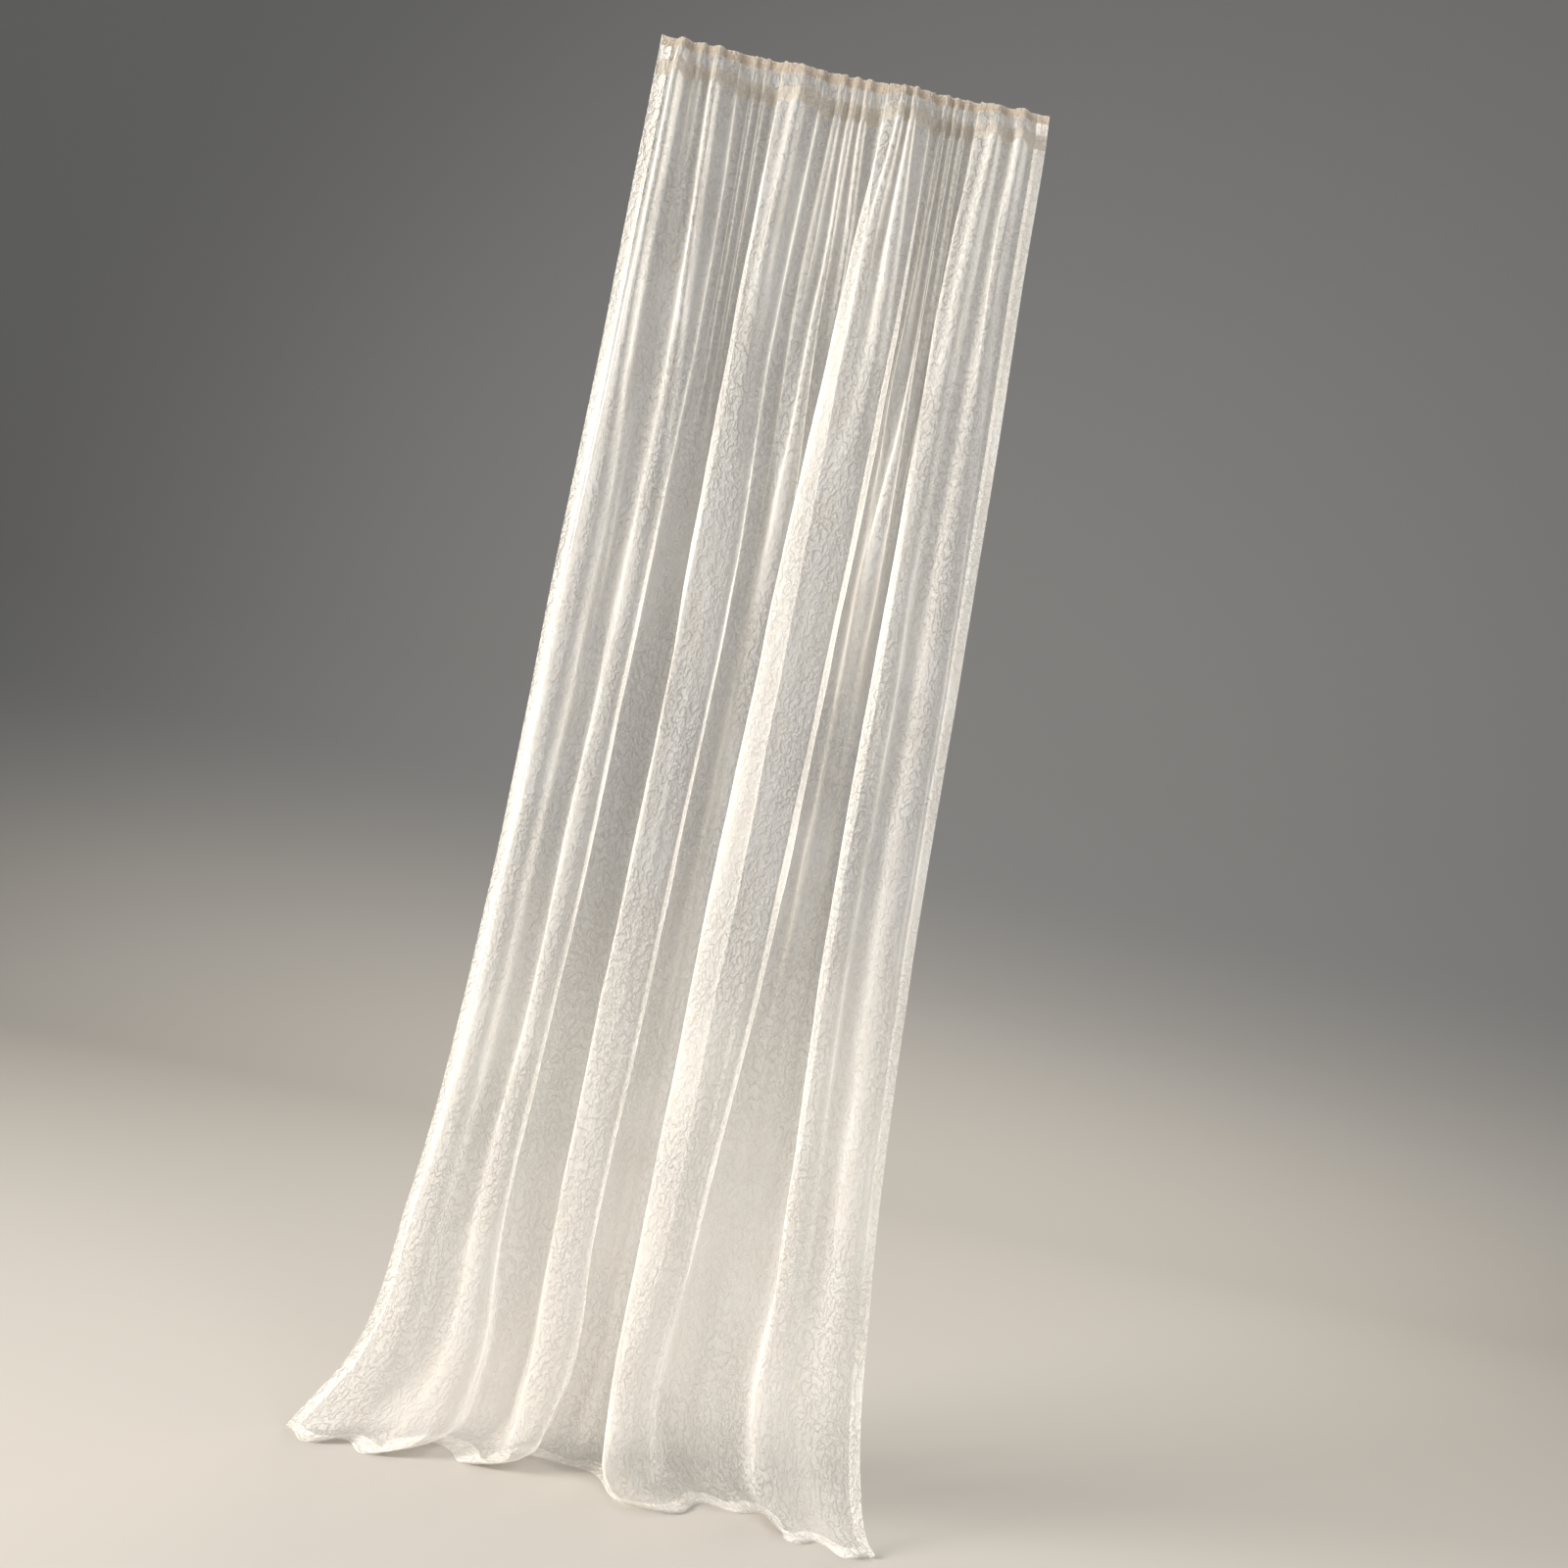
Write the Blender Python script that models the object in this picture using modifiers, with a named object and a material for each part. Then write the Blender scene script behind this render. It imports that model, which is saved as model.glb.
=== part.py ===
# A sheer voile curtain panel, gathered on a heading tape and long enough to run out on the floor.
# Metres, +Z up. The origin is the middle of the gathered top edge. +X is to the right as seen from
# the room, -Y is towards the room. Run: blender --background --factory-startup --python part.py
from collections import namedtuple

import bmesh
import bpy
import numpy as np

# The cloth as it is cut, side and bottom hems included.
CLOTH_WIDTH = 1.50
CLOTH_LENGTH = 2.72
CLOTH_THICKNESS = 0.001
# The tape sewn across the back of the top edge. It is gathered together with the cloth.
TAPE_HEIGHT = 0.072
TAPE_THICKNESS = 0.001
TAPE_GAP = 0.0005
TAPE_END_INSET = 0.004
TAPE_TOP_INSET = 0.003

# The tightest bend at the crest of a small pleat, and the depth from which the small pleats die out.
CREST_RADIUS = 0.004
PLEATS_FULL_TO = 0.05
# The turn in degrees that every long fold has in the heading, the depth where it has its own, the share
# of its arc that it has down to the next depth, and the depth where it has all of it.
HEADING_TURN = 88
FOLDS_FULL_AT = 0.36
NARROW_SHARE = 0.66
NARROW_TO = 0.30
WIDE_AT = 1.00
# The depths between which soft waves take over the slack between the long folds.
WAVES_START = 0.35
WAVES_FULL_AT = 1.50
# The cord near the top edge pinches the pleats to this share of their depth, and lets go this far down.
PINCHED_DEPTH = 0.35
PINCH_END = 0.070
# Where the hanging cloth starts to bend out over the floor, where the bend ends, where the folds start
# to open for it, and the slope left on the floor.
BEND_START = 2.50
BEND_END = 2.68
FLOOR_EASE_START = 2.00
FLOOR_SLOPE = np.radians(16.0)
# A long fold spreads a little where it runs out on the floor.
FLOOR_SPREAD = 1.25
# The depths between which a fold's turn goes from its high value to its low one.
TURN_HIGH = 0.50
TURN_LOW = 1.20
# No stretch of cloth turns past this, in radians, and how sharply turns are held under it.
LARGEST_TURN = 2.6
TURN_HOLD = 6
# The slack between folds is scaled no further than this, and turns no further than this, in radians.
LARGEST_SLACK = 6.0
LARGEST_SLACK_TURN = 1.65

# Mesh: columns across the cloth and rows down it.
COLUMNS = 120
HEADING_ROWS = 3
HANGING_ROWS = 11
FLOOR_ROWS = 7
FINE_STEPS = 1500
# How much closer the columns stand at the heading's pleats and at the long folds, and how the rows spread.
COLUMNS_AT_PLEATS = 0.7
COLUMNS_AT_FOLDS = 0.6
ROW_SPREAD = 1.25

# Depths down the cloth at which the places of the long folds are given.
STATIONS = np.array([0.00, 0.40, 1.00, 1.60, 2.20, 2.50, 2.62, 2.72])

# A long fold: its place across the flat cloth, the way the cloth turns there (+1 away from the room),
# half the arc that it takes, its turn in degrees below the heading, halfway down and on the floor,
# the soft swells in the slack to its right, how far it runs out towards the room on the floor,
# and its place in X at each station. The first and last rows are the two side edges.
Fold = namedtuple("Fold", "place way arc turn_high turn_low turn_floor swells run_out line")
LONG_FOLDS = [
    Fold(0.000, 0, 0.00, 0, 0, 0, 2, 0.050, (-.366, -.361, -.356, -.351, -.377, -.422, -.484, -.505)),
    Fold(0.300, +1, 0.050, 100, 98, 66, 1, 0.045, (-.214, -.194, -.187, -.191, -.199, -.187, -.214, -.319)),
    Fold(0.450, -1, 0.048, 112, 95, 58, 1, 0.030, (-.134, -.127, -.112, -.104, -.103, -.100, -.115, -.200)),
    Fold(0.580, +1, 0.048, 96, 98, 64, 2, 0.005, (-.054, -.052, -.025, -.021, -.027, -.024, -.058, -.130)),
    Fold(0.835, -1, 0.078, 146, 148, 70, 1, 0.015, (.065, .071, .069, .071, .080, .071, .076, .100)),
    Fold(1.040, +1, 0.050, 104, 100, 62, 2, 0.020, (.150, .174, .183, .183, .159, .159, .190, .260)),
    Fold(1.265, -1, 0.052, 122, 98, 60, 2, 0.010, (.236, .248, .268, .290, .326, .326, .359, .430)),
    Fold(1.500, 0, 0.00, 0, 0, 0, 0, 0.040, (.366, .391, .422, .448, .498, .536, .565, .595)),
]

# A small pleat of the heading: its place across the flat cloth, half the arc it takes, its turn in
# degrees, the depth where it is gone, and half the arc of the soft swell that it leaves below.
Pleat = namedtuple("Pleat", "place arc turn gone_at swell")
PLEATS = [
    Pleat(0.078, 0.052, 86, 1.00, 0.075),
    Pleat(0.160, 0.024, 80, 0.80, 0.000),
    Pleat(0.225, 0.038, 84, 1.00, 0.070),
    Pleat(0.352, 0.020, 80, 0.80, 0.000),
    Pleat(0.398, 0.020, 80, 0.80, 0.000),
    Pleat(0.515, 0.034, 82, 1.00, 0.055),
    Pleat(0.645, 0.030, 84, 1.00, 0.000),
    Pleat(0.704, 0.028, 84, 1.00, 0.084),
    Pleat(0.762, 0.030, 84, 1.00, 0.000),
    Pleat(0.905, 0.030, 84, 1.00, 0.000),
    Pleat(0.970, 0.034, 84, 1.00, 0.085),
    Pleat(1.100, 0.032, 86, 1.00, 0.000),
    Pleat(1.160, 0.028, 86, 1.00, 0.086),
    Pleat(1.214, 0.026, 86, 1.00, 0.000),
    Pleat(1.336, 0.042, 86, 1.00, 0.060),
    Pleat(1.428, 0.044, 82, 1.00, 0.056),
]


def smooth_step(start, end, value):
    """0 up to start, 1 from end on, and an even S between them."""
    share = np.clip((value - start) / (end - start), 0.0, 1.0)
    return share * share * (3.0 - 2.0 * share)


def smooth_line(knots, values, at):
    """A smooth curve through the values at the knots: cubic pieces with the slopes of the neighbours."""
    values = np.asarray(values, float)
    slopes = np.gradient(values, knots)
    index = np.clip(np.searchsorted(knots, at, side="right") - 1, 0, len(knots) - 2)
    span = knots[index + 1] - knots[index]
    share = (at - knots[index]) / span
    rise = share * share * (3.0 - 2.0 * share)
    left = span * slopes[index] * share * (1.0 - share) ** 2
    right = span * slopes[index + 1] * share * share * (1.0 - share)
    return values[index] + (values[index + 1] - values[index]) * rise + left - right


def height_down(depths):
    """Height of the cloth at each depth: it hangs straight, then its slope eases to the floor's."""
    fine = np.linspace(0.0, CLOTH_LENGTH, FINE_STEPS)
    upright = np.pi / 2
    slope = upright - (upright - FLOOR_SLOPE) * smooth_step(BEND_START, BEND_END, fine)
    sines = np.sin(slope)
    steps = (sines[1:] + sines[:-1]) / 2 * np.diff(fine)
    return -np.interp(depths, fine, np.concatenate(([0.0], np.cumsum(steps))))


def long_fold_turns(depths, across):
    """Direction in plan that the long folds give: one soft hump of turn for each fold."""
    down = depths[:, None]
    low = smooth_step(TURN_HIGH, TURN_LOW, down)
    floor = smooth_step(FLOOR_EASE_START, BEND_END, down)
    formed = smooth_step(PLEATS_FULL_TO, FOLDS_FULL_AT, down)
    width = NARROW_SHARE + (1.0 - NARROW_SHARE) * smooth_step(NARROW_TO, WIDE_AT, down)
    width = width + (FLOOR_SPREAD - 1.0) * floor
    turns = np.zeros((len(depths), len(across)))
    for fold in LONG_FOLDS[1:-1]:
        turn = fold.turn_high + (fold.turn_low - fold.turn_high) * low
        turn = turn + (fold.turn_floor - turn) * floor
        turn = HEADING_TURN + (turn - HEADING_TURN) * formed
        reach = np.clip((across - fold.place) / (fold.arc * width), -1.0, 1.0)
        turns += fold.way * np.radians(turn) * np.cos(np.pi * reach / 2) ** 2
    return turns


def pleat_turns(depths, across):
    """Direction in plan of the small pleats: out and back, each turning into its swell further down."""
    turns = np.zeros((len(depths), len(across)))
    for pleat in PLEATS:
        reach = np.clip((across - pleat.place) / pleat.arc, -1.0, 1.0)
        turn = np.radians(pleat.turn)
        sharpness = pleat.arc / (np.pi * turn * CREST_RADIUS)
        sharp = np.tanh(sharpness * np.sin(np.pi * reach)) * turn
        gone = smooth_step(PLEATS_FULL_TO, pleat.gone_at, depths)[:, None] * np.pi / 2
        turns += np.cos(gone) * sharp
        if pleat.swell:
            reach = np.clip((across - pleat.place) / pleat.swell, -1.0, 1.0)
            turns += np.sin(gone) * np.sin(np.pi * reach)
    return turns


def slack_turns(across):
    """Direction in plan of the slack between two long folds: swells to the room and away, in turn."""
    turns = np.zeros(len(across))
    way = 1.0
    for left, right in zip(LONG_FOLDS, LONG_FOLDS[1:]):
        share = (across - left.place) / (right.place - left.place)
        inside = (share >= 0.0) & (share <= 1.0)
        turns -= inside * way * np.sin(2 * np.pi * left.swells * share)
        way = -way
    return turns


def held_under(largest, turns):
    """The turns held softly under the largest one."""
    return turns / (1.0 + (np.abs(turns) / largest) ** TURN_HOLD) ** (1 / TURN_HOLD)


def plan_of(depths, across):
    """X and Y of the cloth at each depth and each place across.

    The direction is the sum of the turns above. Between two neighbouring long folds the slack is
    scaled until the cloth reaches just from one fold's line to the next, so its width is kept.
    """
    step = across[1] - across[0]
    folded = long_fold_turns(depths, across)
    waves = smooth_step(WAVES_START, WAVES_FULL_AT, depths)[:, None]
    slack = (1.0 - waves) * pleat_turns(depths, across) + waves * slack_turns(across)
    lines = [smooth_line(STATIONS, fold.line, depths) for fold in LONG_FOLDS]
    turns = np.zeros_like(folded)
    for index, (left, right) in enumerate(zip(LONG_FOLDS, LONG_FOLDS[1:])):
        inside = (across >= left.place) & (across <= right.place)
        wanted = lines[index + 1] - lines[index]
        low = np.zeros(len(depths))
        high = np.full(len(depths), LARGEST_SLACK)
        for _ in range(30):
            factor = (low + high) / 2
            scaled = held_under(LARGEST_SLACK_TURN, factor[:, None] * slack[:, inside])
            turned = held_under(LARGEST_TURN, folded[:, inside] + scaled)
            reached = running_sum(np.cos(turned), step)[:, -1]
            low = np.where(reached > wanted, factor, low)
            high = np.where(reached > wanted, high, factor)
        turns[:, inside] = turned
    x = lines[0][:, None] + running_sum(np.cos(turns), step)
    y = running_sum(np.sin(turns), step)
    return x, y - y.mean(1, keepdims=True)


def running_sum(rates, step):
    """The running integral of each row, from 0 at its start."""
    inner = np.cumsum((rates[:, 1:] + rates[:, :-1]) / 2 * step, axis=1)
    return np.hstack((np.zeros((len(rates), 1)), inner))


def cloth_surface(depths, places):
    """Points of the cloth's middle surface, for each depth and each place across."""
    across = np.linspace(0.0, CLOTH_WIDTH, FINE_STEPS + 1)
    x, y = plan_of(depths, across)
    y *= PINCHED_DEPTH + (1.0 - PINCHED_DEPTH) * smooth_step(0.0, PINCH_END, depths)[:, None]
    knots = np.array([fold.place for fold in LONG_FOLDS])
    run_out = smooth_line(knots, [fold.run_out for fold in LONG_FOLDS], places)
    gone = smooth_step(BEND_START, CLOTH_LENGTH, depths)[:, None]
    points = np.empty((len(depths), len(places), 3))
    for row in range(len(depths)):
        points[row, :, 0] = np.interp(places, across, x[row])
        points[row, :, 1] = np.interp(places, across, y[row])
    points[:, :, 1] -= gone * run_out
    points[:, :, 2] = height_down(depths)[:, None]
    return points


def column_places():
    """Places of the mesh columns across the cloth, closer together where the heading turns sharply."""
    across = np.linspace(0.0, CLOTH_WIDTH, FINE_STEPS + 1)
    bending = np.abs(np.gradient(pleat_turns(np.zeros(1), across)[0], across))
    hung = np.abs(np.gradient(long_fold_turns(np.array([TURN_LOW]), across)[0], across))
    density = 1.0 + bending / bending.mean() * COLUMNS_AT_PLEATS + hung / hung.mean() * COLUMNS_AT_FOLDS
    filled = np.concatenate(([0.0], np.cumsum((density[1:] + density[:-1]) / 2)))
    return np.interp(np.linspace(0.0, filled[-1], COLUMNS + 1), filled, across)


def heading_depths():
    """Depths of the tape's rows, which the cloth shares."""
    return np.linspace(TAPE_TOP_INSET, TAPE_HEIGHT, HEADING_ROWS)


def row_depths():
    """Depths of the cloth's rows: the heading's, then closer ones where it bends at the floor."""
    heading = np.concatenate(([0.0], heading_depths()))
    hanging = TAPE_HEIGHT + (BEND_START - TAPE_HEIGHT) * np.linspace(0.0, 1.0, HANGING_ROWS) ** ROW_SPREAD
    floor = np.linspace(BEND_START, CLOTH_LENGTH, FLOOR_ROWS)
    return np.concatenate((heading, hanging[1:], floor[1:]))


def shifted_back(points, distance):
    """The points of each row moved off the cloth, away from the room, by an even distance.

    A point moves along the mean of the normals of its two neighbouring stretches, and further the
    more they differ, so that each stretch of the strip stays parallel to the cloth's.
    """
    ahead = np.diff(points[:, :, :2], axis=1)
    ahead /= np.linalg.norm(ahead, axis=2, keepdims=True)
    before = np.concatenate((ahead[:, :1], ahead), axis=1)
    after = np.concatenate((ahead, ahead[:, -1:]), axis=1)
    mean = (before + after) / 2
    size = np.linalg.norm(mean, axis=2, keepdims=True)
    back = np.stack((-mean[:, :, 1], mean[:, :, 0]), axis=2) / size
    moved = points.copy()
    moved[:, :, :2] += back * distance / size
    return moved


def plain_material(name, colour, roughness):
    material = bpy.data.materials.new(name)
    material.use_nodes = True
    shader = material.node_tree.nodes["Principled BSDF"]
    shader.inputs["Base Color"].default_value = (*colour, 1.0)
    shader.inputs["Roughness"].default_value = roughness
    shader.inputs["Metallic"].default_value = 0.0
    return material


def sheet_object(name, points, thickness, material, collection):
    """A grid laid on the points, row by row, with an even thickness on both sides of it."""
    rows, columns = points.shape[:2]
    body = bmesh.new()
    bmesh.ops.create_grid(body, x_segments=columns - 1, y_segments=rows - 1, size=1.0)
    body.verts.ensure_lookup_table()
    laid = points[::-1].reshape(-1, 3)
    for vertex, place in zip(body.verts, laid):
        vertex.co = place
    mesh = bpy.data.meshes.new(name)
    body.to_mesh(mesh)
    body.free()
    mesh.materials.append(material)
    mesh.shade_smooth()
    sheet = bpy.data.objects.new(name, mesh)
    collection.objects.link(sheet)
    wall = sheet.modifiers.new("cloth thickness", "SOLIDIFY")
    wall.thickness = thickness
    wall.offset = 0.0
    wall.use_even_offset = True
    return sheet


def main():
    for old in list(bpy.data.objects):
        bpy.data.objects.remove(old, do_unlink=True)
    curtain = bpy.data.collections.new("sheer voile curtain")
    bpy.context.scene.collection.children.link(curtain)
    voile = plain_material("voile", (0.86, 0.82, 0.75), 0.85)
    tape = plain_material("heading tape", (0.80, 0.73, 0.62), 0.80)

    places = column_places()
    cloth = cloth_surface(row_depths(), places)
    sheet_object("voile_panel", cloth, CLOTH_THICKNESS, voile, curtain)

    between_hems = np.clip(places, TAPE_END_INSET, CLOTH_WIDTH - TAPE_END_INSET)
    heading = cloth_surface(heading_depths(), between_hems)
    apart = (CLOTH_THICKNESS + TAPE_THICKNESS) / 2 + TAPE_GAP
    sheet_object("heading_tape", shifted_back(heading, apart), TAPE_THICKNESS, tape, curtain)


main()
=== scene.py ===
from collections import namedtuple

import bpy
import numpy as np
from mathutils import Matrix


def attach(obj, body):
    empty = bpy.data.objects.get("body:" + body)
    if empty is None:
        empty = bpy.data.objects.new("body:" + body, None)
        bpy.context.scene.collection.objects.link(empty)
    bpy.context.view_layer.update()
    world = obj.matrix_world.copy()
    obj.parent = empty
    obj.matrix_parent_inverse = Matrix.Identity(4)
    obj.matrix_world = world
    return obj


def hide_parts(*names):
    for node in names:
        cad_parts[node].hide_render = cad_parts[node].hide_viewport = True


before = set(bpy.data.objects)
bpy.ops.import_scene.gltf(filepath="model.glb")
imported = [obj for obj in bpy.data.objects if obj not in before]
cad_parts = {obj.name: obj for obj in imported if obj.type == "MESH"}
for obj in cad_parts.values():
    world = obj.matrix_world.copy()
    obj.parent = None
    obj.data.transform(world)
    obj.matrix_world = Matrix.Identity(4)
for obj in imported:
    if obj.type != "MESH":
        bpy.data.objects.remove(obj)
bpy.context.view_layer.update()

# The cloth as it is cut, in metres, its hems and the turning at its top edge.
CLOTH_WIDTH = 1.50
CLOTH_LENGTH = 2.72
SIDE_HEM = 0.022
BOTTOM_HEM = 0.050
TOP_TURNING = 0.016
# How far behind the cloth its first turned layer lies.
LAYER_STEP = 0.0006
# How many layers a hem adds, and how dense it is close to its raw edge, which is turned under.
SIDE_HEM_LAYERS = 1.5
BOTTOM_HEM_LAYERS = 3
TOP_TURNING_LAYERS = 2
TURNED_UNDER = 0.006
COVER_TURNED_UNDER = 0.72
# The gathering tape on the back of the heading, from one depth to the other. A dense band ends at
# the top band's depth, another starts at the foot band's, and between them is the open middle.
TAPE_TOP = 0.003
TAPE_HEIGHT = 0.069
TAPE_END_INSET = 0.004
TAPE_BEHIND = 0.0016
TAPE_TOP_BAND = 0.016
TAPE_FOOT_BAND = 0.040
CORD_PITCH = 0.024
RIB_PITCH = 0.0012
# Half the width over which a band fades out at its edge.
BAND_EDGE = 0.0012

# Colours, from the lighter to the darker. Then a painted shade: the tan that the cloth is given
# where a dense band of the tape lies close behind it, and the share of it over the tape's foot band.
VOILE_LIGHT = (0.94, 0.91, 0.86, 1.0)
VOILE_SHADE = (0.88, 0.835, 0.765, 1.0)
# The top turning is the same cream voile, painted a dark tan: painted shade where its layers lie together.
TURNING_PAINTED_SHADE_LIGHTER = (0.49, 0.42, 0.335, 1.0)
TURNING_PAINTED_SHADE_DARKER = (0.40, 0.335, 0.255, 1.0)
CLOTH_PAINTED_SHADE_OVER_TAPE = (0.60, 0.53, 0.44, 1.0)
PAINTED_SHADE_OVER_FOOT_BAND = 0.6
TAPE_LIGHT = (0.36, 0.28, 0.195, 1.0)
TAPE_SHADE = (0.27, 0.20, 0.13, 1.0)
TAPE_FOOT = (0.44, 0.40, 0.335, 1.0)
THREAD_LIGHT = (0.88, 0.84, 0.76, 1.0)
THREAD_SHADE = (0.74, 0.67, 0.56, 1.0)
PAPER_FLOOR = (0.40, 0.37, 0.33, 1.0)
PAPER_WALL = (0.19, 0.187, 0.182, 1.0)
# The share of light that each finish lets through to its other side.
LIT_THROUGH_CLOTH = 0.35
LIT_THROUGH_TAPE = 0.4

# The tightest bend at the crest of a small pleat, and the depth from which the pleats die out.
CREST_RADIUS = 0.004
PLEATS_FULL_TO = 0.05
# The turn in degrees that every long fold has in the heading, the depth where it has its own, the
# share of its arc that it has down to the next depth, and the depth where it has all of it.
HEADING_TURN = 88
FOLDS_FULL_AT = 0.36
NARROW_SHARE = 0.66
NARROW_TO = 0.30
WIDE_AT = 1.00
# The depths between which soft waves take over the slack between the long folds.
WAVES_START = 0.35
WAVES_FULL_AT = 1.50
# The cord near the top edge pinches the pleats to this share of their depth, and lets go this far
# down.
PINCHED_DEPTH = 0.22
PINCH_END = 0.070
# Where the hanging cloth starts to bend out over the floor, where the bend ends, where the folds
# start to open for it, the slope left on the floor, and how much wider a fold is there.
BEND_START = 2.50
BEND_END = 2.68
FLOOR_EASE_START = 2.00
FLOOR_SLOPE = np.radians(16.0)
FLOOR_SPREAD = 1.25
# The depths between which a fold's turn goes from its high value to its low one.
TURN_HIGH = 0.50
TURN_LOW = 1.20
# The largest turn in radians, how sharply turns are held under it, and how far the slack between
# two folds is scaled and may turn.
LARGEST_TURN = 2.6
TURN_HOLD = 6
LARGEST_SLACK = 6.0
LARGEST_SLACK_TURN = 1.65
SOLVER_STEPS = 30
FINE_STEPS = 1500

# The grid of the cloth: columns across it, rows down it, and how much closer the rows stand halfway
# down. Then the grids of the strips sewn on it or turned over.
COLUMNS = 500
ROWS = 190
ROW_SHIFT = 0.055
SIDE_HEM_COLUMNS = 8
BOTTOM_HEM_ROWS = 10
TURNING_ROWS = 6
TAPE_ROWS = 14

# Depths down the cloth at which the places of the long folds are given.
STATIONS = np.array([0.00, 0.40, 1.00, 1.60, 2.20, 2.50, 2.62, 2.72])
# A long fold: its place across the flat cloth, the way the cloth turns there (+1 away from the
# room), half the arc that it takes, its turn in degrees below the heading, halfway down and on the
# floor, the soft swells in the slack to its right, how far it runs out towards the room on the
# floor, and its place in X at each station. The first and last rows are the two side edges.
Fold = namedtuple("Fold", "place way arc turn_high turn_low turn_floor swells run_out line")
LONG_FOLDS = [
    Fold(0.000, 0, 0.00, 0, 0, 0, 2, 0.050, (-.366, -.361, -.356, -.351, -.377, -.422, -.484, -.505)),
    Fold(0.300, +1, 0.050, 100, 98, 66, 1, 0.045, (-.214, -.194, -.187, -.191, -.199, -.187, -.214, -.319)),
    Fold(0.450, -1, 0.048, 112, 95, 58, 1, 0.030, (-.134, -.127, -.112, -.104, -.103, -.100, -.115, -.200)),
    Fold(0.580, +1, 0.048, 96, 98, 64, 2, 0.005, (-.054, -.052, -.025, -.021, -.027, -.024, -.058, -.130)),
    Fold(0.835, -1, 0.078, 146, 148, 70, 1, 0.015, (.065, .071, .069, .071, .080, .071, .076, .100)),
    Fold(1.040, +1, 0.050, 104, 100, 62, 2, 0.020, (.150, .174, .183, .183, .159, .159, .190, .260)),
    Fold(1.265, -1, 0.052, 122, 98, 60, 2, 0.010, (.236, .248, .268, .290, .326, .326, .359, .430)),
    Fold(1.500, 0, 0.00, 0, 0, 0, 0, 0.040, (.366, .391, .422, .448, .498, .536, .565, .595)),
]
# A small pleat of the heading: its place across the flat cloth, half the arc it takes, its turn in
# degrees, the depth where it is gone, and half the arc of the soft swell that it leaves below.
Pleat = namedtuple("Pleat", "place arc turn gone_at swell")
PLEATS = [
    Pleat(0.078, 0.052, 86, 1.00, 0.075),
    Pleat(0.160, 0.024, 80, 0.80, 0.000),
    Pleat(0.225, 0.038, 84, 1.00, 0.070),
    Pleat(0.352, 0.020, 80, 0.80, 0.000),
    Pleat(0.398, 0.020, 80, 0.80, 0.000),
    Pleat(0.515, 0.034, 82, 1.00, 0.055),
    Pleat(0.645, 0.030, 84, 1.00, 0.000),
    Pleat(0.704, 0.028, 84, 1.00, 0.084),
    Pleat(0.762, 0.030, 84, 1.00, 0.000),
    Pleat(0.905, 0.030, 84, 1.00, 0.000),
    Pleat(0.970, 0.034, 84, 1.00, 0.085),
    Pleat(1.100, 0.032, 86, 1.00, 0.000),
    Pleat(1.160, 0.028, 86, 1.00, 0.086),
    Pleat(1.214, 0.026, 86, 1.00, 0.000),
    Pleat(1.336, 0.042, 86, 1.00, 0.060),
    Pleat(1.428, 0.044, 82, 1.00, 0.056),
]

# A crease laid in: from one place on the flat cloth to another (across, down), its width and
# how far it stands out towards the room, in metres. A trough has a negative height.
Crease = namedtuple("Crease", "from_across from_down to_across to_down width height")
CREASES = [
    Crease(0.058, 0.30, 0.044, 1.10, 0.0050, 0.0030),
    Crease(0.128, 0.40, 0.150, 2.30, 0.0110, 0.0036),
    Crease(0.168, 0.95, 0.176, 2.05, 0.0080, -0.0030),
    Crease(0.232, 0.10, 0.214, 0.52, 0.0045, 0.0024),
    Crease(0.246, 1.20, 0.262, 2.20, 0.0070, 0.0026),
    Crease(0.375, 0.12, 0.368, 0.70, 0.0045, 0.0022),
    Crease(0.510, 0.09, 0.508, 0.46, 0.0035, 0.0026),
    Crease(0.522, 0.80, 0.505, 2.35, 0.0090, 0.0028),
    Crease(0.655, 0.12, 0.640, 1.02, 0.0040, 0.0030),
    Crease(0.702, 0.12, 0.735, 1.05, 0.0045, 0.0030),
    Crease(0.905, 0.14, 0.925, 0.56, 0.0040, 0.0024),
    Crease(0.975, 0.10, 0.960, 0.40, 0.0035, 0.0022),
    Crease(0.985, 1.55, 0.990, 2.55, 0.0050, 0.0034),
    Crease(1.105, 0.85, 1.120, 2.20, 0.0100, -0.0026),
    Crease(1.210, 0.12, 1.195, 0.80, 0.0050, 0.0024),
    Crease(1.345, 0.50, 1.352, 2.45, 0.0120, 0.0034),
    Crease(1.405, 0.10, 1.430, 0.62, 0.0045, 0.0026),
    Crease(1.462, 0.45, 1.455, 2.30, 0.0060, 0.0026),
    Crease(0.090, 2.44, 0.215, 2.62, 0.0090, 0.0050),
    Crease(0.150, 2.58, 0.285, 2.64, 0.0070, 0.0042),
    Crease(0.330, 2.50, 0.410, 2.66, 0.0080, -0.0036),
    Crease(0.505, 2.46, 0.560, 2.64, 0.0070, 0.0036),
    Crease(0.900, 2.50, 0.985, 2.64, 0.0080, 0.0042),
    Crease(1.060, 2.46, 1.160, 2.66, 0.0080, 0.0040),
    Crease(1.290, 2.48, 1.375, 2.63, 0.0090, 0.0050),
    Crease(1.360, 2.42, 1.450, 2.60, 0.0070, -0.0036),
]

# The crinkle of the crushed cloth: the size of its cells across and down, its height and its draw.
Crinkle = namedtuple("Crinkle", "cell_across cell_down height draw")
CRINKLES = [
    Crinkle(0.060, 0.300, 0.0030, 11),
    Crinkle(0.022, 0.110, 0.0011, 23),
    Crinkle(0.011, 0.045, 0.0005, 37),
]
# Creases and crinkle come in between these depths, and fade to a share close to the foot's edge.
RELIEF_START = 0.05
RELIEF_FULL_AT = 0.30
RELIEF_AT_EDGE = 0.4
EDGE_FADE = 0.04
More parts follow.
